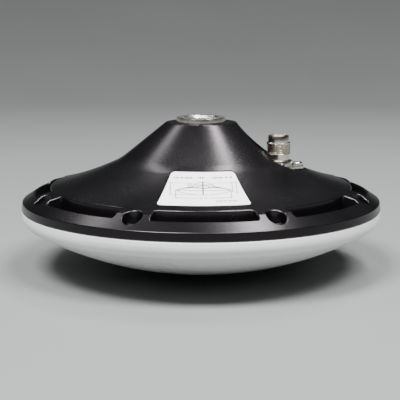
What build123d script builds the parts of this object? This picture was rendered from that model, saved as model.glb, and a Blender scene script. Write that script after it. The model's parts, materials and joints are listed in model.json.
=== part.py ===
from build123d import *
from math import atan2, cos, pi, radians, sin, sqrt, tan
import os

# Survey GNSS antenna that rests on its white radome, with the pole thread facing up.
# Millimetres, +Z up, origin at the lowest point of the radome, on the antenna's axis.
# Every piece is drawn about the seam plane between radome and base, where height is 0,
# and is lifted by RADOME_DEPTH as it is written. Azimuth 0 is the front, -Y.

# ---- driving dimensions -------------------------------------------------------------
RIM_R = 82.5            # radius at the seam
RADOME_DEPTH = 28.7     # seam to the lowest point of the dome
TOP_H = 38.8            # seam to the flat black top of the base
WALL = 3.2              # base wall
EMBED = 1.0             # how far under the outer face an inner rib or boss stops
DOME_WALL = 2.6         # radome wall

# radome outline
LIP_H = 2.0             # straight white band under the seam
LIP_ARC_R = 5.9         # round between the band and the dome

# base outline, as (radius, height)
CONE_TOP = (16.2, TOP_H)
CONE_FOOT = (37.5, 21.7)
CREASE = (74.2, 8.8)
BEVEL_FOOT = (82.1, 3.75)
SKIRT_SAG = 1.15        # how far the slope between cone foot and crease dips under its chord
SEAM_CHAMFER = 0.35
TOP_ROUND = 1.3
FOOT_ROUND = 25.0
CREASE_ROUND = 0.9
BEVEL_ROUND = 0.5
CAVITY_R = 66.0         # the rim is solid from here outwards
CAVITY_FOOT_IN = 1.44   # the cavity's corner under the cone foot, inwards and down
CAVITY_FOOT_DOWN = 2.94
SKIRT_END_SLOPE = 0.26  # fall of the skirt per millimetre outwards, near the crease

# features repeated round the rim
RIM_STEPS = 8
POCKET_INNER_R = 69.3
POCKET_OUTER_R = 76.2
POCKET_HALF_ANGLE = 16.5
POCKET_CORNER_R = 1.1
POCKET_FLOOR_H = 3.2
WELL_R = 4.0
WELL_CIRCLE_R = 74.8
WELL_FLOOR_H = 3.0
EDGE_ROUND = 0.6

# case screws, M3, with their brass inserts in the radome
M3_R = 1.5
M3_HEAD_R = 2.75
M3_HEAD_H = 2.3
CASE_SCREW_LENGTH = 7.6
INSERT_R = 2.1
INSERT_LENGTH = 5.0
INSERT_GROOVE = (-3.0, -2.2, 0.3)  # knurl relief: low, high, depth
BOSS_R = 4.0
POST_TAP_DEPTH = 6.5

# rim seal
SEAL_INNER_R = 68.0
SEAL_OUTER_R = 71.0
SEAL_HALF_H = 0.6
RING_WALL_INNER_R = 67.2
RING_WALL_OUTER_R = 71.8

# pole insert, 5/8"-11 UNC
POLE_MINOR_R = 6.8
POLE_MAJOR_R = 7.94
POLE_THREAD_DEPTH = 20.0
POLE_RING_R = 11.2
POLE_RING_H = 2.4
POLE_RING_CHAMFER = 0.5
LEAD_OVER_MAJOR = 0.15   # how far the lead-in opens past the thread's major radius
POLE_BODY_R = 9.5
POLE_BODY_BOTTOM_H = 18.2
LOCKNUT_FLATS = 24.0
LOCKNUT_H = 4.5
POLE_TOP_WALL = 4.0
INSERT_SEAL_R = 0.6
SEAL_CIRCLE_R = POLE_BODY_R + INSERT_SEAL_R + 0.1

# TNC jack in its recess
JACK_X = 35.8
RECESS_FLOOR_H = 16.4
RECESS_FLOOR_R = 15.3
RECESS_DRAFT = 0.19     # radius gained per millimetre of height
RECESS_CUP_R = 18.4
RECESS_FLOOR_WALL = 3.6
GASKET_H = 0.5
FLANGE_SIDE = 17.5
FLANGE_H = 1.8
FLANGE_CORNER_R = 1.4
FLANGE_HOLE_SPACING = 12.7
COLLAR_R = 6.5
COLLAR_TOP_H = 21.1
NECK_R = 4.85
THREAD_BOTTOM_H = 24.0
THREAD_TOP_H = 29.4
THREAD_R = 5.556        # 7/16"-28 UNEF
PILOT_R = 4.85
JACK_TOP_H = 32.5
JACK_BORE_R = 4.1
JACK_BORE_FLOOR_H = 24.7
JACK_REAR_R = 4.75
JACK_REAR_H = 11.9
JACK_REAR_WALL = 1.6
NOSE_R = 2.4            # the insulator's nose, inside the jack's mouth
NOSE_TOP_H = 31.2
NOSE_FLANGE = 1.2
CONTACT_R = 1.05
CONTACT_BORE_R = 0.68
CONTACT_TOP_H = 30.8
CONTACT_BORE_DEPTH = 5.0
CONTACT_SLIT = (0.2, 4.0)  # width, depth
M25_R = 1.25
M25_HEAD_R = 2.25
M25_HEAD_H = 1.5
JACK_SCREW_LENGTH = 6.6
JACK_BOSS_R = 3.2
JACK_BOSS_BOTTOM_H = 10.9
JACK_CLEARANCE = 0.15   # round the jack's rear body
HOLE_CLEARANCE = 0.1    # round a screw's shank

# coaxial pigtail, 1.37 mm cable
COAX_R = 0.685
COAX_LEVEL = 3.4
PLUG_X, PLUG_Y = 17.0, 22.0

# antenna stack under the ground plane; heights are negative, towards the radome
GROUND_R = 64.0
GROUND_TOP_H = -1.5
GROUND_THICK = 1.5
POST_R = 3.5
POST_CIRCLE_R = 58.0
LOWER_GAP = 5.0
LOWER_R = 46.0
LOWER_COPPER_R = 42.0
UPPER_GAP = 3.0
UPPER_R = 32.0
UPPER_COPPER_R = 28.0
PATCH_THICK = 3.0
COPPER_THICK = 0.3
LOWER_PIN_CIRCLE_R = 20.0
UPPER_PIN_CIRCLE_R = 12.0
PIN_R = 0.65
PIN_CLEARANCE_R = 1.6
PIN_END = 0.5           # solder end of a feed pin past its board
LOWER_SPACER_CIRCLE_R = 36.0
UPPER_SPACER_CIRCLE_R = 24.0
SPACER_R = 3.0
STUD_R = 2.0
STUD_HEAD_R = 3.6
STUD_HEAD_H = 1.8
STUD_NUT_H = 2.4

# amplifier board above the ground plane
BOARD_R = 34.0
BOARD_BOTTOM_H = 0.0
BOARD_THICK = 1.6
BOARD_SCREW_CIRCLE_R = 30.0
SHIELD_X, SHIELD_Y = 24.0, 15.0
SHIELD_CENTRE_Y = 18.0
SHIELD_H = 4.2
SHIELD_WALL = 0.5
LID_OVERLAP = 2.0

# label on the front slope, in a shallow recess of its own outline
LABEL_INNER_R = 38.5
LABEL_OUTER_R = 64.0
LABEL_INNER_HALF = 13.3
LABEL_OUTER_HALF = 19.3
LABEL_CORNER_R = 1.8
LABEL_THICK = 0.15
LABEL_MARGIN = 0.5      # recess past the label, all round
LABEL_RECESS_DEPTH = 0.35

# where a turned solid's surfaces start and end, clear of every feature
START_TURN = 34.0

# ---- heights that follow ------------------------------------------------------------
GROUND_BOTTOM_H = GROUND_TOP_H - GROUND_THICK
LOWER_TOP_H = GROUND_BOTTOM_H - LOWER_GAP
LOWER_FACE_H = LOWER_TOP_H - PATCH_THICK
UPPER_TOP_H = LOWER_FACE_H - COPPER_THICK - UPPER_GAP
UPPER_FACE_H = UPPER_TOP_H - PATCH_THICK
BOARD_TOP_H = BOARD_BOTTOM_H + BOARD_THICK
FLANGE_BOTTOM_H = RECESS_FLOOR_H + GASKET_H
FLANGE_TOP_H = FLANGE_BOTTOM_H + FLANGE_H
DOME_R = ((RIM_R - LIP_ARC_R) ** 2 + (RADOME_DEPTH - LIP_H) ** 2 - LIP_ARC_R ** 2) / (
    2 * (RADOME_DEPTH - LIP_H - LIP_ARC_R)
)


# ---- small helpers ------------------------------------------------------------------
def rod(radius, low, high, x=0.0, y=0.0):
    """A vertical cylinder between two heights."""
    return Pos(x, y, low) * Cylinder(
        radius, high - low, align=(Align.CENTER, Align.CENTER, Align.MIN)
    )


def block(width, depth, low, high, x=0.0, y=0.0):
    """A box between two heights, centred on x and y."""
    return Pos(x, y, low) * Box(
        width, depth, high - low, align=(Align.CENTER, Align.CENTER, Align.MIN)
    )


def turned(*edges):
    """The solid turned about Z by a closed outline of (radius, height) edges."""
    return Rot(0, 0, START_TURN) * revolve(Plane.XZ * make_face(Curve() + list(edges)), Axis.Z)


def ring_points(count, radius, start=0.0):
    """Points evenly spaced on a circle; azimuth 0 is -Y, and +X is at 90."""
    angles = [radians(start + 360.0 * k / count) for k in range(count)]
    return [(radius * sin(a), -radius * cos(a)) for a in angles]


def group(solids):
    """Identical loose solids as one node."""
    return Compound(children=list(solids))


def hexagon(flats, low, high):
    """A vertical hexagonal prism, by its width across flats."""
    return Pos(0, 0, low) * extrude(RegularPolygon(flats / sqrt(3), 6), high - low)


WELLS = ring_points(RIM_STEPS, WELL_CIRCLE_R, 22.5)
POSTS = ring_points(RIM_STEPS, POST_CIRCLE_R)
BOARD_SCREWS = ring_points(4, BOARD_SCREW_CIRCLE_R)
LOWER_PINS = ring_points(4, LOWER_PIN_CIRCLE_R, 45)
UPPER_PINS = ring_points(4, UPPER_PIN_CIRCLE_R, 45)
LOWER_SPACERS = ring_points(4, LOWER_SPACER_CIRCLE_R)
UPPER_SPACERS = ring_points(4, UPPER_SPACER_CIRCLE_R)
JACK_SCREWS = [
    (JACK_X + x, y) for x, y in ring_points(4, FLANGE_HOLE_SPACING / sqrt(2))
]


# ---- base ---------------------------------------------------------------------------
def dip(start, end, sag):
    """The arc from start to end that dips under its chord by sag."""
    (r0, h0), (r1, h1) = start, end
    length = sqrt((r1 - r0) ** 2 + (h1 - h0) ** 2)
    middle = ((r0 + r1) / 2 + sag * (h1 - h0) / length, (h0 + h1) / 2 - sag * (r1 - r0) / length)
    return ThreePointArc(start, middle, end)


def base_outline(grow=0.0):
    """The face under the base's outer line, down to the seam, raised by grow."""
    lifted = [(r, h + grow) for r, h in (CONE_TOP, CONE_FOOT, CREASE, BEVEL_FOOT)]
    top, foot, crease, bevel = lifted
    face = make_face(
        Curve()
        + [
            Polyline((0, 0), (0, top[1]), top, foot),
            dip(foot, crease, SKIRT_SAG),
            Polyline(
                crease,
                bevel,
                (RIM_R, SEAM_CHAMFER),
                (RIM_R - SEAM_CHAMFER, 0),
                (0, 0),
            ),
        ]
    )
    for point, radius in (
        (top, TOP_ROUND),
        (foot, FOOT_ROUND),
        (crease, CREASE_ROUND),
        (bevel, BEVEL_ROUND),
    ):
        face = fillet(face.vertices().sort_by_distance(point)[0], radius)
    return face


def base_solid(grow=0.0):
    return Rot(0, 0, START_TURN) * revolve(Plane.XZ * base_outline(grow), Axis.Z)


def base_cavity():
    """The room inside the base: it follows the outer line one wall further in."""
    slope = (CONE_TOP[1] - CONE_FOOT[1]) / (CONE_FOOT[0] - CONE_TOP[0])
    across = WALL * sqrt(1 + slope**2) / slope
    ceiling = TOP_H - POLE_TOP_WALL
    ceiling_r = CONE_TOP[0] + POLE_TOP_WALL / slope - across
    foot = (CONE_FOOT[0] - CAVITY_FOOT_IN, CONE_FOOT[1] - CAVITY_FOOT_DOWN)
    edge = (CAVITY_R, CREASE[1] + (CREASE[0] - CAVITY_R) * SKIRT_END_SLOPE - WALL)
    return turned(
        Polyline((0, -1), (0, ceiling), (ceiling_r, ceiling), foot),
        dip(foot, edge, SKIRT_SAG),
        Polyline(edge, (CAVITY_R, -1), (0, -1)),
    )


def rim_pocket():
    """The cutter of one rim pocket, at the front."""
    half = radians(POCKET_HALF_ANGLE)
    corners = [
        (radius * sin(a), -radius * cos(a))
        for radius, a in (
            (POCKET_INNER_R, -half),
            (POCKET_INNER_R, 0),
            (POCKET_INNER_R, half),
            (POCKET_OUTER_R, half),
            (POCKET_OUTER_R, 0),
            (POCKET_OUTER_R, -half),
        )
    ]
    outline = make_face(
        Curve()
        + [
            ThreePointArc(*corners[0:3]),
            Line(corners[2], corners[3]),
            ThreePointArc(*corners[3:6]),
            Line(corners[5], corners[0]),
        ]
    )
    outline = fillet(outline.vertices(), POCKET_CORNER_R)
    return Pos(0, 0, POCKET_FLOOR_H) * extrude(outline, TOP_H)


def is_mouth(edge):
    """Whether an edge borders the open mouth of a rim pocket or a screw well."""
    centre = edge.center()
    distance = sqrt(centre.X**2 + centre.Y**2)
    on_rim = POCKET_INNER_R - 2 < distance < WELL_CIRCLE_R + WELL_R + 0.5
    above_floor = centre.Z > POCKET_FLOOR_H + 1.2
    rises = abs((edge @ 1 - edge @ 0).Z) >= 0.75 * edge.length or abs((edge % 0.5).Z) >= 0.9
    whole_circle = edge.length > 60
    return on_rim and above_floor and not rises and not whole_circle


def base_shell():
    outside = base_solid()
    shell = outside - base_cavity()
    cup_bottom = RECESS_FLOOR_H - RECESS_FLOOR_WALL
    shell += base_solid(-EMBED) & rod(RECESS_CUP_R, cup_bottom, TOP_H, JACK_X)
    inside = [rod(JACK_BOSS_R, JACK_BOSS_BOTTOM_H, cup_bottom + 1, x, y) for x, y in JACK_SCREWS]
    shell += inside
    posts = [rod(POST_R, GROUND_TOP_H, CREASE[1] + 2, x, y) for x, y in POSTS]
    shell += posts

    for k in range(RIM_STEPS):
        shell -= Rot(0, 0, 360.0 * k / RIM_STEPS) * rim_pocket()
    shell -= [rod(WELL_R, WELL_FLOOR_H, TOP_H, x, y) for x, y in WELLS]
    shell = fillet([edge for edge in shell.edges() if is_mouth(edge)], EDGE_ROUND)
    shell -= label_column(LABEL_MARGIN) - base_solid(-LABEL_RECESS_DEPTH)

    recess_h = TOP_H + 2 - RECESS_FLOOR_H
    shell -= Pos(JACK_X, 0, RECESS_FLOOR_H) * Cone(
        RECESS_FLOOR_R,
        RECESS_FLOOR_R + RECESS_DRAFT * recess_h,
        recess_h,
        align=(Align.CENTER, Align.CENTER, Align.MIN),
    )
    shell -= rod(JACK_REAR_R + JACK_CLEARANCE, 0, TOP_H, JACK_X)
    screw_end = FLANGE_TOP_H - JACK_SCREW_LENGTH
    shell -= [rod(M25_R, screw_end, TOP_H, x, y) for x, y in JACK_SCREWS]
    shell -= [rod(M3_R + 2 * HOLE_CLEARANCE, -1, TOP_H, x, y) for x, y in WELLS]
    tap_end = GROUND_TOP_H + POST_TAP_DEPTH
    shell -= [rod(M3_R, GROUND_TOP_H - 1, tap_end, x, y) for x, y in POSTS]
    shell -= rod(POLE_BODY_R + 0.5 * HOLE_CLEARANCE, 0, TOP_H + 1)
    shell -= rod(SEAL_OUTER_R, -1, SEAL_HALF_H) - rod(SEAL_INNER_R, -1, SEAL_HALF_H)
    return shell


# ---- label --------------------------------------------------------------------------
def label_column(margin):
    """A tall column over the label's outline, wider than it by margin."""
    near, far = LABEL_INNER_R - margin, LABEL_OUTER_R + margin
    near_half, far_half = LABEL_INNER_HALF + margin, LABEL_OUTER_HALF + margin
    near_y, far_y = -sqrt(near**2 - near_half**2), -sqrt(far**2 - far_half**2)
    outline = make_face(
        Curve()
        + [
            ThreePointArc((-near_half, near_y), (0, -near), (near_half, near_y)),
            Line((near_half, near_y), (far_half, far_y)),
            ThreePointArc((far_half, far_y), (0, -far), (-far_half, far_y)),
            Line((-far_half, far_y), (-near_half, near_y)),
        ]
    )
    return extrude(fillet(outline.vertices(), LABEL_CORNER_R + margin), TOP_H)


def info_label():
    """A thin printed sheet that lies on the floor of its recess."""
    sheet = label_column(0) & base_solid(LABEL_THICK - LABEL_RECESS_DEPTH)
    return sheet - base_solid(-LABEL_RECESS_DEPTH)


# ---- radome -------------------------------------------------------------------------
def dome_edges(inset, top):
    """The dome's line from its rim at height top to the axis, one inset further in."""
    centre_h = DOME_R - RADOME_DEPTH
    arc_r, arc_centre = LIP_ARC_R - inset, (RIM_R - LIP_ARC_R, -LIP_H)
    run, rise = arc_centre[0], arc_centre[1] - centre_h
    reach = sqrt(run**2 + rise**2)
    joint = (arc_centre[0] + arc_r * run / reach, arc_centre[1] + arc_r * rise / reach)
    knee = -atan2(-rise, run) / 2
    belly_r, belly = DOME_R - inset, atan2(run, -rise) / 2
    return [
        Line((RIM_R - inset, top), (RIM_R - inset, -LIP_H)),
        ThreePointArc(
            (RIM_R - inset, -LIP_H),
            (arc_centre[0] + arc_r * cos(knee), arc_centre[1] + arc_r * sin(knee)),
            joint,
        ),
        ThreePointArc(
            joint,
            (belly_r * sin(belly), centre_h - belly_r * cos(belly)),
            (0, centre_h - belly_r),
        ),
    ]


def dome_solid(inset, top):
    edges = dome_edges(inset, top)
    return turned(*edges, Polyline((0, inset - RADOME_DEPTH), (0, top), (RIM_R - inset, top)))


def radome():
    outside = dome_solid(0, 0)
    room = dome_solid(DOME_WALL, 1.0)
    shell = outside - room
    ribs = rod(RING_WALL_OUTER_R, -RADOME_DEPTH, 0) - rod(RING_WALL_INNER_R, -RADOME_DEPTH, 0)
    ribs += [rod(BOSS_R, -RADOME_DEPTH, 0, x, y) for x, y in WELLS]
    shell += dome_solid(EMBED, 0) & ribs
    rims = shell.edges().filter_by(GeomType.CIRCLE).group_by(Axis.Z)[-1]
    shell = chamfer(rims.sort_by(SortBy.RADIUS)[-1], SEAM_CHAMFER)
    shell -= [rod(INSERT_R, -INSERT_LENGTH - 0.4, 1, x, y) for x, y in WELLS]
    shell -= rod(SEAL_OUTER_R, -SEAL_HALF_H, 1) - rod(SEAL_INNER_R, -SEAL_HALF_H, 1)
    return shell


# ---- seals and fasteners ------------------------------------------------------------
def rim_seal():
    return rod(SEAL_OUTER_R, -SEAL_HALF_H, SEAL_HALF_H) - rod(
        SEAL_INNER_R, -SEAL_HALF_H, SEAL_HALF_H
    )


def hex_socket_screw(shank_r, head_r, head_h, length):
    """A screw that points down, with the underside of its head at height 0."""
    screw = rod(head_r, 0, head_h)
    screw = fillet(screw.edges().group_by(Axis.Z)[-1], 0.4 * head_h)
    screw -= hexagon(head_r, 0.35 * head_h, head_h + 1)
    return screw + rod(shank_r, -length, 0)


def cross_screw(shank_r, head_r, head_h, length):
    """A pan head screw that points down, with a cross recess."""
    screw = rod(head_r, 0, head_h)
    screw = fillet(screw.edges().group_by(Axis.Z)[-1], 0.45 * head_h)
    blade = block(1.2 * head_r, 0.24 * head_r, 0.4 * head_h, head_h + 1)
    screw -= blade + Rot(0, 0, 90) * blade
    return screw + rod(shank_r, -length, 0)


def case_screws():
    screw = hex_socket_screw(M3_R, M3_HEAD_R, M3_HEAD_H, CASE_SCREW_LENGTH)
    return group(Pos(x, y, WELL_FLOOR_H) * screw for x, y in WELLS)


def screw_inserts():
    low, high, depth = INSERT_GROOVE
    insert = rod(INSERT_R, -INSERT_LENGTH, 0) - rod(M3_R, -INSERT_LENGTH - 1, 1)
    groove = rod(INSERT_R + 1, low, high) - rod(INSERT_R - depth, low, high)
    return group(Pos(x, y, 0) * (insert - groove) for x, y in WELLS)


# ---- pole insert --------------------------------------------------------------------
def pole_insert():
    top = TOP_H + POLE_RING_H
    body = rod(POLE_RING_R, TOP_H, top)
    body = chamfer(body.edges().group_by(Axis.Z)[-1], POLE_RING_CHAMFER)
    body += rod(POLE_BODY_R, POLE_BODY_BOTTOM_H, TOP_H)
    body -= rod(POLE_MINOR_R, top - POLE_THREAD_DEPTH, top + 1)
    lead = POLE_MAJOR_R + LEAD_OVER_MAJOR - POLE_MINOR_R
    body -= Pos(0, 0, top - lead) * Cone(
        POLE_MINOR_R,
        POLE_MINOR_R + lead,
        lead,
        align=(Align.CENTER, Align.CENTER, Align.MIN),
    )
    groove = Pos(0, 0, TOP_H) * Torus(SEAL_CIRCLE_R, INSERT_SEAL_R)
    return body - groove


def insert_seal():
    ring = Pos(0, 0, TOP_H) * Torus(SEAL_CIRCLE_R, INSERT_SEAL_R)
    return ring & rod(POLE_RING_R, TOP_H, TOP_H + POLE_RING_H)


def insert_locknut():
    high = TOP_H - POLE_TOP_WALL
    nut = hexagon(LOCKNUT_FLATS, high - LOCKNUT_H, high)
    return nut - rod(POLE_BODY_R, high - LOCKNUT_H - 1, high + 1)


# ---- TNC jack -----------------------------------------------------------------------
def flange_plate(side, low, high):
    """A square plate about the jack's axis, one corner towards +X."""
    plate = Rot(0, 0, 45) * RectangleRounded(side, side, FLANGE_CORNER_R)
    return Pos(JACK_X, 0, low) * extrude(plate, high - low)


def jack_shell():
    shell = flange_plate(FLANGE_SIDE, FLANGE_BOTTOM_H, FLANGE_TOP_H)
    shell = chamfer(shell.edges().group_by(Axis.Z)[-1], 0.2)
    collar = rod(COLLAR_R, FLANGE_TOP_H, COLLAR_TOP_H, JACK_X)
    shell += chamfer(collar.edges().group_by(Axis.Z)[-1], 0.4)
    shell += rod(NECK_R, FLANGE_TOP_H, THREAD_BOTTOM_H, JACK_X)
    thread = rod(THREAD_R, THREAD_BOTTOM_H, THREAD_TOP_H, JACK_X)
    shell += chamfer(thread.edges().filter_by(GeomType.CIRCLE), 0.25)
    pilot = rod(PILOT_R, THREAD_TOP_H, JACK_TOP_H, JACK_X)
    shell += chamfer(pilot.edges().group_by(Axis.Z)[-1], 0.35)
    shell += rod(JACK_REAR_R, JACK_REAR_H, FLANGE_BOTTOM_H, JACK_X)
    shell -= rod(JACK_BORE_R, JACK_BORE_FLOOR_H, JACK_TOP_H + 1, JACK_X)
    shell -= rod(NOSE_R, JACK_REAR_H + JACK_REAR_WALL, JACK_BORE_FLOOR_H + 1, JACK_X)
    shell -= rod(COAX_R, JACK_REAR_H - 1, JACK_REAR_H + 2, JACK_X)
    through = (FLANGE_BOTTOM_H - 1, FLANGE_TOP_H + 1)
    return shell - [rod(M25_R + HOLE_CLEARANCE, *through, x, y) for x, y in JACK_SCREWS]


def jack_insulator():
    nose = rod(NOSE_R, JACK_REAR_H + JACK_REAR_WALL, NOSE_TOP_H, JACK_X)
    nose = chamfer(nose.edges().group_by(Axis.Z)[-1], 0.3)
    nose += rod(JACK_BORE_R, JACK_BORE_FLOOR_H, JACK_BORE_FLOOR_H + NOSE_FLANGE, JACK_X)
    return nose - rod(CONTACT_R, JACK_REAR_H, NOSE_TOP_H + 1, JACK_X)


def jack_contact():
    high = CONTACT_TOP_H
    slit_width, slit_depth = CONTACT_SLIT
    pin = rod(CONTACT_R, JACK_REAR_H + JACK_REAR_WALL, high, JACK_X)
    pin -= rod(CONTACT_BORE_R, high - CONTACT_BORE_DEPTH, high + 1, JACK_X)
    return pin - block(slit_width, 3 * CONTACT_R, high - slit_depth, high + 1, JACK_X)


def jack_gasket():
    gasket = flange_plate(FLANGE_SIDE - 0.6, RECESS_FLOOR_H, FLANGE_BOTTOM_H)
    gasket -= rod(JACK_REAR_R + JACK_CLEARANCE, 0, TOP_H, JACK_X)
    return gasket - [rod(M25_R + HOLE_CLEARANCE, 0, TOP_H, x, y) for x, y in JACK_SCREWS]


def jack_screws():
    screw = cross_screw(M25_R, M25_HEAD_R, M25_HEAD_H, JACK_SCREW_LENGTH)
    return group(Pos(x, y, FLANGE_TOP_H) * Rot(0, 0, 20 + 35 * k) * screw
                 for k, (x, y) in enumerate(JACK_SCREWS))


# ---- pigtail ------------------------------------------------------------------------
COAX_ROUTE = [
    (JACK_X, 0, JACK_REAR_H + JACK_REAR_WALL),
    (JACK_X, 0, COAX_LEVEL),
    (37.5, 13.0, COAX_LEVEL),
    (31.0, PLUG_Y, COAX_LEVEL),
    (PLUG_X + 3.5, PLUG_Y, COAX_LEVEL),
]


def coax_pigtail():
    radii = []
    for a, b, c in zip(COAX_ROUTE, COAX_ROUTE[1:], COAX_ROUTE[2:]):
        before, after = Vector(*b) - Vector(*a), Vector(*c) - Vector(*b)
        turn = radians(before.get_angle(after))
        radii.append(0.45 * min(before.length, after.length) / tan(turn / 2))
    print("pigtail bend radii", [round(r, 1) for r in radii])
    path = FilletPolyline(*COAX_ROUTE, radius=radii)
    circle = Plane(origin=COAX_ROUTE[0], z_dir=(0, 0, -1)) * Circle(COAX_R)
    tube = sweep(circle, path=path)
    print("pigtail length", round(path.length, 1), "volume share",
          round(tube.volume / (pi * COAX_R**2 * path.length), 4))
    return tube


def pigtail_plug():
    low = BOARD_TOP_H + 0.7
    plug = rod(1.6, low, COAX_LEVEL + 1.1, PLUG_X, PLUG_Y)
    barrel = Pos(PLUG_X, PLUG_Y, COAX_LEVEL) * Rot(0, 90, 0) * Cylinder(
        1.0, 3.5, align=(Align.CENTER, Align.CENTER, Align.MIN)
    )
    return plug + barrel


def board_socket():
    socket = block(3.0, 3.0, BOARD_TOP_H, BOARD_TOP_H + 0.3, PLUG_X, PLUG_Y)
    return socket + rod(1.1, BOARD_TOP_H, BOARD_TOP_H + 0.7, PLUG_X, PLUG_Y)


# ---- antenna stack ------------------------------------------------------------------
def ground_plane():
    plate = rod(GROUND_R, GROUND_BOTTOM_H, GROUND_TOP_H)
    through = (GROUND_BOTTOM_H - 1, GROUND_TOP_H + 1)
    plate -= [rod(M3_R + HOLE_CLEARANCE, *through, x, y) for x, y in POSTS]
    plate -= [rod(M25_R, *through, x, y) for x, y in BOARD_SCREWS]
    plate -= [rod(PIN_CLEARANCE_R, *through, x, y) for x, y in LOWER_PINS + UPPER_PINS]
    return plate - rod(STUD_R, *through)


def ground_plane_screws():
    length = GROUND_THICK + POST_TAP_DEPTH - 0.5
    screw = Rot(180, 0, 0) * cross_screw(M3_R, M3_HEAD_R, M3_HEAD_H, length)
    return group(Pos(x, y, GROUND_BOTTOM_H) * screw for x, y in POSTS)


def patch_board(radius, top, holes):
    board = rod(radius, top - PATCH_THICK, top) - rod(STUD_R, top - PATCH_THICK - 1, top + 1)
    return board - [rod(r, top - PATCH_THICK - 1, top + 1, x, y) for r, x, y in holes]


def patch_copper(radius, face, holes):
    copper = rod(radius, face - COPPER_THICK, face) - rod(STUD_R, face - 1, face + 1)
    return copper - [rod(r, face - 1, face + 1, x, y) for r, x, y in holes]


LOWER_HOLES = [(PIN_R, x, y) for x, y in LOWER_PINS] + [
    (PIN_CLEARANCE_R, x, y) for x, y in UPPER_PINS
]
UPPER_HOLES = [(PIN_R, x, y) for x, y in UPPER_PINS]


def spacers(places, low, high):
    """Loose nylon pillars with a small through hole."""
    return group(rod(SPACER_R, low, high, x, y) - rod(1.0, low - 1, high + 1, x, y)
                 for x, y in places)


def centre_stud():
    low = UPPER_FACE_H - COPPER_THICK
    stud = rod(STUD_R, low, BOARD_TOP_H + STUD_NUT_H + 0.6)
    return stud + rod(STUD_HEAD_R, low - STUD_HEAD_H, low)


def centre_spacer():
    return rod(4.0, GROUND_TOP_H, BOARD_BOTTOM_H) - rod(STUD_R, GROUND_TOP_H - 1, BOARD_TOP_H)


def centre_nut():
    return hexagon(7.0, BOARD_TOP_H, BOARD_TOP_H + STUD_NUT_H) - rod(STUD_R, 0, TOP_H)


def feed_pins(places, low):
    return group(rod(PIN_R, low - PIN_END, BOARD_TOP_H + PIN_END, x, y) for x, y in places)


# ---- amplifier board ----------------------------------------------------------------
def lna_board():
    through = (BOARD_BOTTOM_H - 1, BOARD_TOP_H + 1)
    board = rod(BOARD_R, BOARD_BOTTOM_H, BOARD_TOP_H) - rod(STUD_R, *through)
    board -= [rod(M25_R + HOLE_CLEARANCE, *through, x, y) for x, y in BOARD_SCREWS]
    return board - [rod(PIN_R, *through, x, y) for x, y in LOWER_PINS + UPPER_PINS]


def board_spacers():
    return group(
        rod(2.5, GROUND_TOP_H, BOARD_BOTTOM_H, x, y)
        - rod(M25_R + HOLE_CLEARANCE, GROUND_TOP_H - 1, BOARD_BOTTOM_H + 1, x, y)
        for x, y in BOARD_SCREWS
    )


def board_screws():
    screw = cross_screw(M25_R, M25_HEAD_R, M25_HEAD_H, BOARD_TOP_H - GROUND_BOTTOM_H)
    return group(Pos(x, y, BOARD_TOP_H) * screw for x, y in BOARD_SCREWS)


def shield_frame():
    top = BOARD_TOP_H + SHIELD_H
    frame = block(SHIELD_X, SHIELD_Y, BOARD_TOP_H, top, y=SHIELD_CENTRE_Y)
    inner = 2 * SHIELD_WALL
    return frame - block(
        SHIELD_X - inner, SHIELD_Y - inner, BOARD_TOP_H - 1, top + 1, y=SHIELD_CENTRE_Y
    )


def shield_lid():
    top = BOARD_TOP_H + SHIELD_H
    outer = 2 * SHIELD_WALL
    lid = block(
        SHIELD_X + outer, SHIELD_Y + outer, top - LID_OVERLAP, top + SHIELD_WALL, y=SHIELD_CENTRE_Y
    )
    return lid - block(SHIELD_X, SHIELD_Y, top - LID_OVERLAP - 1, top, y=SHIELD_CENTRE_Y)


def chips(width, depth, height, places):
    """Flat packages that stand on the board."""
    return group(
        block(width, depth, BOARD_TOP_H, BOARD_TOP_H + height, x, y) for x, y in places
    )


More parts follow.
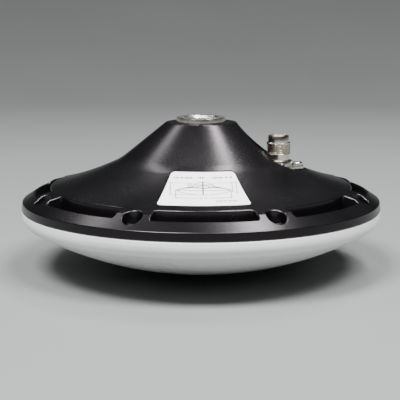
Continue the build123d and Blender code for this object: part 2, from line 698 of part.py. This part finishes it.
# ---- every node, by name ------------------------------------------------------------
NODES = {
    "base_shell": base_shell(),
    "radome": radome(),
    "rim_seal": rim_seal(),
    "case_screws": case_screws(),
    "screw_inserts": screw_inserts(),
    "info_label": info_label(),
    "pole_insert": pole_insert(),
    "insert_seal": insert_seal(),
    "insert_locknut": insert_locknut(),
    "jack_shell": jack_shell(),
    "jack_insulator": jack_insulator(),
    "jack_contact": jack_contact(),
    "jack_gasket": jack_gasket(),
    "jack_screws": jack_screws(),
    "coax_pigtail": coax_pigtail(),
    "pigtail_plug": pigtail_plug(),
    "board_socket": board_socket(),
    "ground_plane": ground_plane(),
    "ground_plane_screws": ground_plane_screws(),
    "lower_patch_board": patch_board(LOWER_R, LOWER_TOP_H, LOWER_HOLES),
    "lower_patch_copper": patch_copper(LOWER_COPPER_R, LOWER_FACE_H, LOWER_HOLES),
    "lower_patch_spacers": spacers(LOWER_SPACERS, LOWER_TOP_H, GROUND_BOTTOM_H),
    "upper_patch_board": patch_board(UPPER_R, UPPER_TOP_H, UPPER_HOLES),
    "upper_patch_copper": patch_copper(UPPER_COPPER_R, UPPER_FACE_H, UPPER_HOLES),
    "upper_patch_spacers": spacers(UPPER_SPACERS, UPPER_TOP_H, LOWER_FACE_H - COPPER_THICK),
    "centre_stud": centre_stud(),
    "centre_spacer": centre_spacer(),
    "centre_nut": centre_nut(),
    "lower_feed_pins": feed_pins(LOWER_PINS, LOWER_FACE_H - COPPER_THICK),
    "upper_feed_pins": feed_pins(UPPER_PINS, UPPER_FACE_H - COPPER_THICK),
    "lna_board": lna_board(),
    "board_spacers": board_spacers(),
    "board_screws": board_screws(),
    "shield_frame": shield_frame(),
    "shield_lid": shield_lid(),
    "amplifier_chips": chips(3.0, 3.0, 0.9, [(-7, 15), (0, 15), (7, 15)]),
    "saw_filters": chips(3.8, 3.8, 1.3, [(-7, 21), (0, 21), (7, 21)]),
    "hybrid_couplers": chips(6.0, 6.0, 1.8, [(-22, 0), (0, -22)]),
    "power_inductor": chips(4.0, 4.0, 2.4, [(20, -12)]),
    "voltage_regulator": chips(6.5, 3.5, 1.6, [(13, -22)]),
}

os.makedirs("parts", exist_ok=True)
for name, shape in NODES.items():
    export_step(Pos(0, 0, RADOME_DEPTH) * shape, f"parts/{name}.step")
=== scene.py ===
import json
import math

import bmesh
import bpy
from mathutils import Matrix, Vector
from mathutils.bvhtree import BVHTree


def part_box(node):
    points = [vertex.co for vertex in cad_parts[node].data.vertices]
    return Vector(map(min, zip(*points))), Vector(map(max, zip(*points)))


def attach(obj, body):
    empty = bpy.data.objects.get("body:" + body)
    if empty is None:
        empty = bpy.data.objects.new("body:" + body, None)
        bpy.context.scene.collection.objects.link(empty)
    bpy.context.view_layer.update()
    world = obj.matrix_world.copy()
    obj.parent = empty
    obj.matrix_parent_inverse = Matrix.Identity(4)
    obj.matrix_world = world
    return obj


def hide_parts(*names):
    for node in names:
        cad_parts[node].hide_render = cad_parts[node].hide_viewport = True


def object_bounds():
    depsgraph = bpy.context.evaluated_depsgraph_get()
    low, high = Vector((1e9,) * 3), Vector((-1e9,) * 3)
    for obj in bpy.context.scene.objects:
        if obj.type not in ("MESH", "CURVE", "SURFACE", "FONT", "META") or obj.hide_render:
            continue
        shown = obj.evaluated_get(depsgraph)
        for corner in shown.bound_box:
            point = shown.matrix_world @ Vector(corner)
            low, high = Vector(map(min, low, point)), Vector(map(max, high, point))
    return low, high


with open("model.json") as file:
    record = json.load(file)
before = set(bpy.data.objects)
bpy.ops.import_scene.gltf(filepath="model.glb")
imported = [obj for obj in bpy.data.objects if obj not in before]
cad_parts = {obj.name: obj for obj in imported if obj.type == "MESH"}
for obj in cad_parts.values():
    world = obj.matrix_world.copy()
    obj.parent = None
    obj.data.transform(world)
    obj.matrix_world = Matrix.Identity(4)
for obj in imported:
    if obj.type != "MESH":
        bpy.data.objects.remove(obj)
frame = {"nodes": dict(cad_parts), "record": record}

MM = 0.001
cad_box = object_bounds()
ROOT = "root"


# ---- shader kit ---------------------------------------------------------------------
class Shader:
    """A Principled material whose inputs are set directly, with room for textures."""

    def __init__(self, name, **constants):
        self.material = bpy.data.materials.new(name)
        self.material.use_nodes = True
        self.tree = self.material.node_tree
        self.surface = self.tree.nodes["Principled BSDF"]
        for label, value in constants.items():
            self.surface.inputs[label.replace("_", " ")].default_value = value
        self.place = self.node("ShaderNodeTexCoord").outputs["Object"]

    def node(self, kind, links=(), **settings):
        made = self.tree.nodes.new(kind)
        for key, value in settings.items():
            if key in made.inputs:
                made.inputs[key].default_value = value
            else:
                setattr(made, key, value)
        for key, source in dict(links).items():
            self.tree.links.new(source, made.inputs[key])
        return made

    def noise(self, size, detail=2.0, roughness=0.5, stretch=(1, 1, 1), distortion=0.0):
        """A grey noise whose blotches are about size metres across."""
        mapped = self.node(
            "ShaderNodeMapping", {"Vector": self.place}, Scale=tuple(s / size for s in stretch)
        )
        made = self.node(
            "ShaderNodeTexNoise",
            {"Vector": mapped.outputs["Vector"]},
            Scale=1.0,
            Detail=detail,
            Roughness=roughness,
            Distortion=distortion,
        )
        return made.outputs["Fac"]

    def span(self, source, low, high, start=0.0, end=1.0):
        """source, stretched from start..end to low..high."""
        made = self.node(
            "ShaderNodeMapRange",
            {"Value": source},
            **{"From Min": start, "From Max": end, "To Min": low, "To Max": high},
        )
        return made.outputs["Result"]

    def math(self, operation, first, second):
        made = self.node("ShaderNodeMath", operation=operation)
        for socket, value in zip(made.inputs, (first, second)):
            if isinstance(value, (int, float)):
                socket.default_value = value
            else:
                self.tree.links.new(value, socket)
        return made.outputs["Value"]

    def colours(self, source, *stops):
        """A colour ramp of (place, (r, g, b)) stops."""
        made = self.node("ShaderNodeValToRGB", {"Fac": source})
        ramp = made.color_ramp
        while len(ramp.elements) < len(stops):
            ramp.elements.new(0.5)
        for element, (where, colour) in zip(ramp.elements, stops):
            element.position = where
            element.color = (*colour, 1.0)
        return made.outputs["Color"]

    def feed(self, socket, source):
        self.tree.links.new(source, self.surface.inputs[socket])

    def bump(self, height, depth, strength=1.0, normal=None):
        """Relief of depth metres; several calls stack through normal."""
        links = {"Height": height}
        if normal is not None:
            links["Normal"] = normal
        made = self.node("ShaderNodeBump", links, Strength=strength, Distance=depth)
        return made.outputs["Normal"]


# ---- finishes -----------------------------------------------------------------------
def moulded_black():
    s = Shader("moulded_black", IOR=1.46, Specular_Tint=(1.0, 0.90, 0.96, 1.0))
    grain = s.noise(0.7 * MM, detail=2, roughness=0.5)
    drift = s.noise(26 * MM, detail=3)
    tones = (0.3, (0.0022, 0.0021, 0.0024)), (0.7, (0.004, 0.0038, 0.0042))
    s.feed("Base Color", s.colours(drift, *tones))
    uneven = s.span(drift, 0.22, 0.26, 0.3, 0.7)
    s.feed("Roughness", s.math("ADD", uneven, s.span(grain, -0.04, 0.06)))
    s.feed("Normal", s.bump(grain, 0.015 * MM, 0.5))
    return s.material


def radome_white():
    s = Shader("radome_white", Roughness=0.3, IOR=1.49, Coat_Weight=0.15, Coat_Roughness=0.2)
    drift = s.noise(40 * MM, detail=3)
    peel = s.noise(1.6 * MM, detail=2)
    s.feed("Base Color", s.colours(drift, (0.35, (0.77, 0.78, 0.77)), (0.65, (0.81, 0.82, 0.81))))
    s.feed("Roughness", s.span(drift, 0.26, 0.34, 0.3, 0.7))
    s.feed("Normal", s.bump(peel, 0.02 * MM, 0.25))
    return s.material


def turned_metal(name, colour, roughness, lathe=0.06 * MM, worn=None):
    """Plated metal with fine marks of the lathe, which run round a vertical axis."""
    s = Shader(name, Metallic=1.0, Roughness=roughness)
    marks = s.noise(lathe, detail=1, stretch=(0.02, 0.02, 1))
    drift = s.noise(3 * MM, detail=3)
    dark = tuple(0.86 * c for c in colour)
    s.feed("Base Color", s.colours(drift, (0.3, worn or dark), (0.6, colour)))
    uneven = s.span(drift, roughness - 0.04, roughness + 0.06, 0.3, 0.7)
    s.feed("Roughness", s.math("ADD", uneven, s.span(marks, -0.03, 0.03)))
    s.feed("Normal", s.bump(marks, 0.004 * MM, 0.4))
    return s.material


def rolled_metal(name, colour, roughness, along=(1, 0.03, 1)):
    """Sheet or wire with long scratches one way."""
    s = Shader(name, Metallic=1.0, Roughness=roughness)
    scratches = s.noise(0.15 * MM, detail=2, stretch=along)
    drift = s.noise(8 * MM, detail=3)
    s.feed("Base Color", s.colours(drift, (0.3, tuple(0.85 * c for c in colour)), (0.7, colour)))
    s.feed("Roughness", s.span(scratches, roughness - 0.06, roughness + 0.1, 0.3, 0.7))
    s.feed("Normal", s.bump(scratches, 0.006 * MM, 0.4))
    return s.material


def plain_plastic(name, colour, roughness, grain=0.4 * MM, relief=0.01 * MM):
    s = Shader(name, Roughness=roughness, IOR=1.48)
    drift = s.noise(6 * MM, detail=3)
    speck = s.noise(grain, detail=2)
    s.feed("Base Color", s.colours(drift, (0.3, tuple(0.86 * c for c in colour)), (0.7, colour)))
    s.feed("Roughness", s.span(speck, roughness - 0.06, roughness + 0.08, 0.3, 0.7))
    s.feed("Normal", s.bump(speck, relief, 0.4))
    return s.material


def label_film():
    s = Shader("label_film", Roughness=0.42, IOR=1.45, Coat_Weight=0.1, Coat_Roughness=0.3)
    fibre = s.noise(0.5 * MM, detail=3)
    drift = s.noise(12 * MM, detail=2)
    s.feed("Base Color", s.colours(drift, (0.3, (0.90, 0.89, 0.91)), (0.7, (0.94, 0.93, 0.95))))
    s.feed("Roughness", s.span(fibre, 0.38, 0.5, 0.3, 0.7))
    s.feed("Normal", s.bump(fibre, 0.006 * MM, 0.3))
    return s.material


def printed_ink():
    s = Shader("printed_ink", Roughness=0.5, IOR=1.45)
    fade = s.noise(0.7 * MM, detail=3)
    tones = (0.35, (0.008, 0.008, 0.010)), (0.65, (0.03, 0.03, 0.035))
    s.feed("Base Color", s.colours(fade, *tones))
    return s.material


def circuit_board():
    s = Shader("circuit_board", Roughness=0.32, IOR=1.5, Coat_Weight=0.3, Coat_Roughness=0.15)
    mapped = s.node("ShaderNodeMapping", {"Vector": s.place}, Scale=(240, 240, 240))
    tracks = s.node(
        "ShaderNodeTexBrick",
        {"Vector": mapped.outputs["Vector"]},
        Scale=1.0,
        **{"Mortar Size": 0.06, "Brick Width": 0.7, "Row Height": 0.35},
    ).outputs["Fac"]
    s.feed("Base Color", s.colours(tracks, (0.2, (0.012, 0.13, 0.055)), (0.8, (0.03, 0.24, 0.10))))
    s.feed("Normal", s.bump(tracks, 0.03 * MM, 0.5))
    return s.material


def laminate():
    s = Shader("laminate", Roughness=0.6, IOR=1.5)
    weave = s.noise(0.5 * MM, detail=2, stretch=(1, 0.3, 1))
    s.feed("Base Color", s.colours(weave, (0.35, (0.66, 0.63, 0.55)), (0.65, (0.78, 0.75, 0.67))))
    s.feed("Normal", s.bump(weave, 0.01 * MM, 0.4))
    return s.material


FINISH = {
    "base_black": moulded_black(),
    "radome_white": radome_white(),
    "seal_rubber": plain_plastic("seal_rubber", (0.025, 0.025, 0.025), 0.6, relief=0.02 * MM),
    "screw_black": rolled_metal("screw_black", (0.035, 0.035, 0.038), 0.38),
    "brass": turned_metal("brass", (0.78, 0.58, 0.28), 0.24),
    "nickel": turned_metal("nickel", (0.80, 0.75, 0.66), 0.2),
    "label_paper": label_film(),
    "screw_steel": turned_metal("screw_steel", (0.74, 0.72, 0.69), 0.2),
    "ptfe": plain_plastic("ptfe", (0.84, 0.83, 0.80), 0.45),
    "gold": turned_metal("gold", (0.88, 0.66, 0.28), 0.2),
    "coax_jacket": plain_plastic("coax_jacket", (0.33, 0.15, 0.06), 0.25),
    "aluminium_sheet": rolled_metal("aluminium_sheet", (0.80, 0.81, 0.82), 0.32),
    "patch_laminate": laminate(),
    "copper": rolled_metal("copper", (0.82, 0.42, 0.27), 0.3),
    "nylon": plain_plastic("nylon", (0.80, 0.79, 0.73), 0.45),
    "board_green": circuit_board(),
    "shield_tin": rolled_metal("shield_tin", (0.72, 0.72, 0.70), 0.28),
    "chip_black": plain_plastic("chip_black", (0.02, 0.02, 0.022), 0.5, grain=0.15 * MM),
    "filter_ceramic": plain_plastic("filter_ceramic", (0.55, 0.50, 0.42), 0.45),
}
INK = printed_ink()


# ---- mesh kit -----------------------------------------------------------------------
def piece(name, mesh, slot, material=None, stands_for=()):
    """A finished mesh as a piece of the object."""
    made = bpy.data.objects.new(name, mesh)
    bpy.context.scene.collection.objects.link(made)
    mesh.materials.clear()
    mesh.materials.append(material or FINISH[slot])
    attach(made, ROOT)
    if stands_for:
        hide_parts(*stands_for)
    return made


def smooth_by_angle(bm, degrees=32):
    limit = math.radians(degrees)
    for face in bm.faces:
        face.smooth = True
    for edge in bm.edges:
        edge.smooth = len(edge.link_faces) == 2 and edge.calc_face_angle(0.0) < limit


def lathe(bm, outline, centre, segments=128):
    """Turns a closed outline of (radius, height, cut) about a vertical axis.

    cut is None, or a function of (angle, height) that gives the radius there. Either
    both ends of the outline lie on the axis, or it closes on itself as a ring."""
    rows = []
    for radius, height, cut in outline:
        if radius < 1e-9:
            rows.append([bm.verts.new((centre[0], centre[1], height))] * segments)
            continue
        row = []
        for k in range(segments):
            angle = 2 * math.pi * k / segments
            r = cut(angle, height) if cut else radius
            x, y = centre[0] + r * math.cos(angle), centre[1] + r * math.sin(angle)
            row.append(bm.verts.new((x, y, height)))
        rows.append(row)
    open_line = outline[0][0] < 1e-9 and outline[-1][0] < 1e-9
    pairs = zip(rows, rows[1:]) if open_line else zip(rows, rows[1:] + rows[:1])
    for lower, upper in pairs:
        for k in range(segments):
            j = (k + 1) % segments
            corners = []
            for vert in (lower[k], lower[j], upper[j], upper[k]):
                if vert not in corners:
                    corners.append(vert)
            if len(corners) > 2:
                bm.faces.new(corners)


def screw_thread(root, crest, pitch, low, high, fade):
    """The radius of a right-hand thread that fades out to crest at both ends."""
    crest_flat, flank = 0.14, 0.62  # shares of half a pitch

    def radius(angle, height):
        turn = (height / pitch - angle / (2 * math.pi)) % 1.0
        away = abs(turn - 0.5) * 2
        depth = min(1.0, max(0.0, (away - crest_flat) / flank))
        ends = min(1.0, max(0.0, min(height - low, high - height) / fade))
        return crest + (root - crest) * depth * ends

    return radius


def thread_rows(radius, low, high, pitch, samples=14):
    """Outline rows close enough together to carry a thread's helix."""
    count = max(2, round((high - low) / pitch * samples))
    return [(1.0, low + (high - low) * k / count, radius) for k in range(count + 1)]


def plain(*points):
    return [(r, z, None) for r, z in points]


def closed_mesh(name, bm, degrees=32):
    bmesh.ops.remove_doubles(bm, verts=bm.verts, dist=1e-7)
    bmesh.ops.recalc_face_normals(bm, faces=bm.faces)
    smooth_by_angle(bm, degrees)
    mesh = bpy.data.meshes.new(name)
    bm.to_mesh(mesh)
    bm.free()
    return mesh


def plate_mesh(name, outlines, low, high, bevel):
    """A flat plate between two heights from closed outlines; inner ones are holes."""
    curve = bpy.data.curves.new(name, "CURVE")
    curve.dimensions = "2D"
    curve.fill_mode = "BOTH"
    curve.extrude = (high - low) / 2 - bevel
    curve.bevel_depth = bevel
    curve.bevel_resolution = 2
    curve.offset = -bevel
    for outline in outlines:
        spline = curve.splines.new("POLY")
        spline.points.add(len(outline) - 1)
        for point, (x, y) in zip(spline.points, outline):
            point.co = (x, y, 0, 1)
        spline.use_cyclic_u = True
    holder = bpy.data.objects.new(name, curve)
    bpy.context.scene.collection.objects.link(holder)
    bpy.context.view_layer.update()
    graph = bpy.context.evaluated_depsgraph_get()
    mesh = bpy.data.meshes.new_from_object(holder.evaluated_get(graph))
    bpy.data.objects.remove(holder)
    for vert in mesh.vertices:
        vert.co.z += (low + high) / 2
    return mesh


def circle(radius, x=0.0, y=0.0, count=48):
    angles = [2 * math.pi * k / count for k in range(count)]
    return [(x + radius * math.cos(a), y + radius * math.sin(a)) for a in angles]


def rounded_square(side, corner, turn, x, y, steps=8):
    """A square with round corners, turned by turn radians about its centre."""
    half = side / 2 - corner
    points = []
    for quarter in range(4):
        for step in range(steps + 1):
            a = math.pi / 2 * (quarter + step / steps)
            cx = half * (1 if quarter in (0, 3) else -1)
            cy = half * (1 if quarter in (0, 1) else -1)
            px, py = cx + corner * math.cos(a), cy + corner * math.sin(a)
            points.append((x + px * math.cos(turn) - py * math.sin(turn),
                           y + px * math.sin(turn) + py * math.cos(turn)))
    return points


# ---- pole insert --------------------------------------------------------------------
def pole_insert():
    low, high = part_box("pole_insert")
    base_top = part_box("insert_seal")[0].z
    ring_r = (high.x - low.x) / 2
    body_r = 9.5 * MM
    minor, major, pitch = 6.8 * MM, 7.94 * MM, 25.4 / 11 * MM
    top, bottom, floor = high.z, low.z, high.z - 20 * MM
    mouth = major + 0.15 * MM
    lead = top - (mouth - minor)
    bore = screw_thread(major, minor, pitch, floor + 1 * MM, top - 0.3 * MM, 0.8 * MM)
    outline = plain(
        (0, bottom),
        (body_r - 0.4 * MM, bottom),
        (body_r, bottom + 0.4 * MM),
        (body_r, base_top),
        (ring_r - 0.15 * MM, base_top),
        (ring_r, base_top + 0.15 * MM),
        (ring_r, top - 0.5 * MM),
        (ring_r - 0.12 * MM, top - 0.2 * MM),
        (ring_r - 0.5 * MM, top),
        (mouth + 0.12 * MM, top),
        (mouth, top - 0.05 * MM),
    )
    outline += [
        (1.0, z, lambda angle, height: max(bore(angle, height), minor + (height - lead) * 0.93))
        for z in (lead + (top - 0.12 * MM - lead) * k / 12 for k in range(12, 0, -1))
    ]
    outline += thread_rows(bore, floor, lead, pitch)[::-1]
    outline += plain((0, floor - 2.2 * MM))
    bm = bmesh.new()
    lathe(bm, outline, (0, 0), 160)
    piece("pole_insert_threaded", closed_mesh("pole_insert_threaded", bm), "nickel",
          turned_metal("insert_nickel", (0.90, 0.88, 0.82), 0.25), stands_for=["pole_insert"])


# ---- TNC jack -----------------------------------------------------------------------
def jack_shell():
    low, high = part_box("jack_shell")
    x = (low.x + high.x) / 2
    gasket_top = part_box("jack_gasket")[1].z
    plate_top = gasket_top + 1.8 * MM
    top, bottom = high.z, low.z
    collar_top, neck_top, thread_top = plate_top + 2.4 * MM, plate_top + 5.3 * MM, top - 3.1 * MM
    crest, root, pitch = 5.556 * MM, 4.85 * MM, 25.4 / 28 * MM
    thread_low, thread_high = neck_top + 0.25 * MM, thread_top - 0.55 * MM
    thread = screw_thread(root, crest, pitch, thread_low, thread_high, 0.35 * MM)
    outline = plain(
        (4.75 * MM, bottom),
        (4.75 * MM, plate_top - 0.1 * MM),
        (6.5 * MM, plate_top - 0.1 * MM),
        (6.5 * MM, collar_top - 0.4 * MM),
        (6.38 * MM, collar_top - 0.12 * MM),
        (6.1 * MM, collar_top),
        (5.0 * MM, collar_top),
        (4.85 * MM, collar_top + 0.15 * MM),
        (4.85 * MM, neck_top),
        (5.3 * MM, neck_top),
    )
    outline += thread_rows(thread, neck_top + 0.25 * MM, thread_top - 0.25 * MM, pitch)
    outline += plain(
        (5.3 * MM, thread_top),
        (4.85 * MM, thread_top),
        (4.85 * MM, top - 0.4 * MM),
        (4.72 * MM, top - 0.12 * MM),
        (4.45 * MM, top),
        (4.25 * MM, top),
        (4.1 * MM, top - 0.15 * MM),
        (4.1 * MM, top - 7.8 * MM),
        (2.42 * MM, top - 7.8 * MM),
        (2.42 * MM, bottom + 1.6 * MM),
        (0.7 * MM, bottom + 1.6 * MM),
        (0.7 * MM, bottom),
    )
    bm = bmesh.new()
    lathe(bm, outline, (x, 0), 112)
    hole_spacing, hole_r, flange_side = 12.7 * MM, 1.45 * MM, 17.5 * MM
    reach = hole_spacing / math.sqrt(2)
    holes = [circle(hole_r, x + reach * math.cos(a), reach * math.sin(a), 32)
             for a in (0, math.pi / 2, math.pi, 1.5 * math.pi)]
    outline = rounded_square(flange_side, 1.4 * MM, math.pi / 4, x, 0)
    outlines = [outline, circle(4.9 * MM, x, 0, 96), *holes]
    plate = plate_mesh("jack_plate", outlines, gasket_top, plate_top, 0.18 * MM)
    bm.from_mesh(plate)
    piece("jack_shell_threaded", closed_mesh("jack_shell_threaded", bm), "nickel",
          stands_for=["jack_shell"])


# ---- label print --------------------------------------------------------------------
class Slope:
    """Finds the label's upper face, where its print lies."""

    def __init__(self, node):
        source = frame["nodes"][node]
        self.tree = BVHTree.FromPolygons(
            [tuple(v.co) for v in source.data.vertices],
            [tuple(p.vertices) for p in source.data.polygons],
        )

    def point(self, across, out, lift):
        """The place out mm from the axis and across mm round from the middle."""
        angle = across / out
        x, y = out * math.sin(angle) * MM, -out * math.cos(angle) * MM
        hit = self.tree.ray_cast(Vector((x, y, 1.0)), Vector((0, 0, -1)))[0]
        return hit + Vector((0, 0, lift))


def ink_line(bm, slope, points, width, lift=0.03 * MM):
    """A printed line through (across, out) points, as a thin closed strip."""
    path = []
    for (u0, v0), (u1, v1) in zip(points, points[1:]):
        count = max(1, round(math.hypot(u1 - u0, v1 - v0) / 1.2))
        path += [(u0 + (u1 - u0) * k / count, v0 + (v1 - v0) * k / count) for k in range(count)]
    path.append(points[-1])
    rings = []
    for k, (u, v) in enumerate(path):
        before, after = path[max(k - 1, 0)], path[min(k + 1, len(path) - 1)]
        du, dv = after[0] - before[0], after[1] - before[1]
        length = math.hypot(du, dv) or 1.0
        nu, nv = -dv / length * width / 2, du / length * width / 2
        ring = [slope.point(u + nu, v + nv, lift), slope.point(u - nu, v - nv, lift),
                slope.point(u - nu, v - nv, -lift), slope.point(u + nu, v + nv, -lift)]
        rings.append([bm.verts.new(p) for p in ring])
    for a, b in zip(rings, rings[1:]):
        for j in range(4):
            bm.faces.new((a[j], a[(j + 1) % 4], b[(j + 1) % 4], b[j]))
    bm.faces.new(rings[0])
    bm.faces.new(rings[-1][::-1])


def ink_words(bm, slope, start, out, lengths, height=1.3, gap=0.5):
    """Greeked text: a row of bars, one for each word, with short strokes in each."""
    at = start
    for word in lengths:
        stroke = 0.46
        count = max(1, round(word / 0.72))
        for k in range(count):
            u = at + word * (k + 0.5) / count
            tall = height * (0.72 + 0.28 * ((k * 7 + round(word * 10)) % 3) / 2)
            ink_line(bm, slope, [(u, out - tall / 2), (u, out + tall / 2)], stroke)
        at += word + gap


def arc_points(start, top, end, count=12):
    """Points on the parabola through a start, a top and an end."""
    points = []
    for k in range(count + 1):
        t = k / count
        a, b, c = 2 * (t - 0.5) * (t - 1), 4 * t * (1 - t), 2 * t * (t - 0.5)
        points.append(tuple(a * p + b * q + c * r for p, q, r in zip(start, top, end)))
    return points


def label_print():
    slope = Slope("info_label")
    bm = bmesh.new()
    fine, thick = 0.3, 0.55
    # three greeked words at the top, and a row at the lower right
    ink_words(bm, slope, -12.6, 42.4, [2.4, 1.2, 3.4], gap=0.6)
    ink_words(bm, slope, -2.2, 42.3, [3.0])
    ink_words(bm, slope, 4.0, 42.4, [4.6, 1.3, 1.2], gap=0.7)
    ink_words(bm, slope, 4.9, 60.2, [2.9, 1.2, 3.8], height=1.1)
    # outline of an antenna seen from the side
    ink_line(bm, slope, arc_points((-11.6, 51.6), (0, 48.2), (11.5, 51.6)), fine)
    ink_line(bm, slope, arc_points((-5.0, 49.0), (0, 45.4), (5.0, 49.0)), fine)
    ink_line(bm, slope, arc_points((-11.6, 51.8), (-6.0, 49.6), (0, 50.2)), thick)
    ink_line(bm, slope, arc_points((11.5, 51.8), (6.0, 49.6), (0, 50.2)), thick)
    ink_line(bm, slope, arc_points((-10.6, 52.6), (0, 55.2), (11.2, 52.6)), fine)
    ink_line(bm, slope, [(-11.6, 51.8), (11.5, 51.8)], fine)
    ink_line(bm, slope, [(-2.8, 50.0), (-2.0, 48.1), (1.8, 48.1), (2.7, 50.0)], fine)
    ink_line(bm, slope, [(-4.2, 47.4), (4.3, 47.4)], fine)
    ink_line(bm, slope, [(-0.2, 45.0), (-0.2, 54.8)], thick)
    # a round mark beside the phase centre
    ring = [(-5.7 + 0.75 * math.cos(a), 47.5 + 0.75 * math.sin(a))
            for a in (2 * math.pi * k / 12 for k in range(13))]
    ink_line(bm, slope, ring, fine)
    # dimension lines with greeked figures
    for u, low, high in ((-14.0, 46.2, 55.0), (12.2, 46.2, 52.8), (14.1, 46.2, 54.0)):
        middle = (low + high) / 2
        ink_line(bm, slope, [(u, low), (u, middle - 1.0)], fine)
        ink_line(bm, slope, [(u, middle + 1.0), (u, high)], fine)
        for figure in (middle - 0.6, middle, middle + 0.6):
            ink_line(bm, slope, [(u - 0.35, figure), (u + 0.35, figure)], 0.3)
        for end in (low, high):
            ink_line(bm, slope, [(u - 0.5, end), (u + 0.5, end)], fine)
    ink_line(bm, slope, [(-14.0, 46.2), (-3.4, 46.2)], 0.18)
    ink_line(bm, slope, [(3.6, 46.2), (14.1, 46.2)], 0.18)
    ink_line(bm, slope, [(-14.0, 55.0), (-4.0, 55.0)], 0.18)
    ink_line(bm, slope, [(-11.6, 51.8), (-11.6, 58.2)], fine)
    ink_line(bm, slope, [(11.5, 51.8), (11.5, 58.2)], fine)
    ink_line(bm, slope, [(-11.6, 57.7), (-2.0, 57.7)], fine)
    ink_line(bm, slope, [(2.0, 57.7), (11.5, 57.7)], fine)
    ink_words(bm, slope, -1.6, 57.7, [1.2, 1.5], height=0.8, gap=0.4)
    piece("label_print", closed_mesh("label_print", bm), "label_paper", INK)


# ---- CAD nodes keep their shape and get their finish --------------------------------
def dress_nodes():
    slots = {row["node"]: row["material_slot"] for row in frame["record"]["subparts"]}
    for name, node in frame["nodes"].items():
        node.data.materials.clear()
        node.data.materials.append(FINISH[slots[name]])
        for polygon in node.data.polygons:
            polygon.material_index = 0


# ---- stage --------------------------------------------------------------------------
def stage_floor():
    """A pale round floor whose edge sweeps up on every side."""
    flat, bend, rise = 0.9, 0.7, 0.20
    line = [(flat * k / 6, 0.0) for k in range(1, 7)]
    line += [(flat + bend * k / 16, rise * (k / 16) ** 2) for k in range(1, 17)]
    bm = bmesh.new()
    count = 96
    hub = bm.verts.new((0, 0, 0))
    rows = [[bm.verts.new((x, y, z)) for x, y in circle(r, count=count)] for r, z in line]
    for k in range(count):
        bm.faces.new((hub, rows[0][k], rows[0][(k + 1) % count]))
    for a, b in zip(rows, rows[1:]):
        for k in range(count):
            j = (k + 1) % count
            bm.faces.new((a[k], b[k], b[j], a[j]))
    for face in bm.faces:
        face.smooth = True
    mesh = bpy.data.meshes.new("floor_sweep")
    bm.to_mesh(mesh)
    bm.free()
    floor = bpy.data.objects.new("floor_sweep", mesh)
    bpy.context.scene.collection.objects.link(floor)
    s = Shader("floor_paper", Roughness=0.7)
    tone = s.noise(300 * MM, detail=3)
    s.feed("Base Color", s.colours(tone, (0.3, (0.17, 0.176, 0.175)), (0.7, (0.18, 0.187, 0.186))))
    mesh.materials.append(s.material)


def soft_light(name, place, size, power, along=(1, 0, 0), colour=(1, 1, 1)):
    """A rectangular lamp that faces the object, its width along the given direction."""
    data = bpy.data.lights.new(name, "AREA")
    data.shape = "RECTANGLE"
    data.size, data.size_y = size
    data.energy = power
    data.color = colour
    lamp = bpy.data.objects.new(name, data)
    back = (Vector(place) - Vector((0, 0, 0.03))).normalized()
    across = (Vector(along) - back * back.dot(Vector(along))).normalized()
    turn = Matrix((across, back.cross(across), back)).transposed()
    lamp.matrix_world = Matrix.Translation(place) @ turn.to_4x4()
    bpy.context.scene.collection.objects.link(lamp)


def stage_lights():
    soft_light("over_right", (0.26, 0.29, 1.03), (0.46, 0.15), 6.8, (-0.48, 0.87, 0))
    soft_light("over_left", (-0.44, 0.52, 0.98), (0.40, 0.18), 1.7, (0.97, 0.25, 0))
    soft_light("front_left", (-0.40, -0.52, 1.12), (0.50, 0.42), 40.0)
    soft_light("front_right", (0.42, -0.50, 1.12), (0.50, 0.42), 33.0)
    world = bpy.data.worlds.new("studio")
    world.use_nodes = True
    background = world.node_tree.nodes["Background"]
    background.inputs["Color"].default_value = (0.93, 0.97, 1.0, 1.0)
    background.inputs["Strength"].default_value = 0.02
    bpy.context.scene.world = world


def stage_camera():
    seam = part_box("radome")[1].z
    rim_r = (cad_box[1][0] - cad_box[0][0]) / 2
    azimuth, elevation = math.radians(-1.1), math.radians(10.09)
    distance, aim_up, aim_left = 5.739 * rim_r, 0.0268 * rim_r, 0.47 * MM
    right = Vector((math.cos(azimuth), math.sin(azimuth), 0))
    target = Vector((0, 0, seam + aim_up)) - right * aim_left
    level = math.cos(elevation)
    back = Vector((math.sin(azimuth) * level, -math.cos(azimuth) * level, math.sin(elevation)))
    data = bpy.data.cameras.new("camera")
    data.sensor_width = 36.0
    data.lens = 91.34
    camera = bpy.data.objects.new("camera", data)
    camera.location = target + back * distance
    camera.rotation_euler = (-back).to_track_quat("-Z", "Y").to_euler()
    bpy.context.scene.collection.objects.link(camera)
    bpy.context.scene.camera = camera


dress_nodes()
pole_insert()
jack_shell()
label_print()
stage_floor()
stage_lights()
stage_camera()
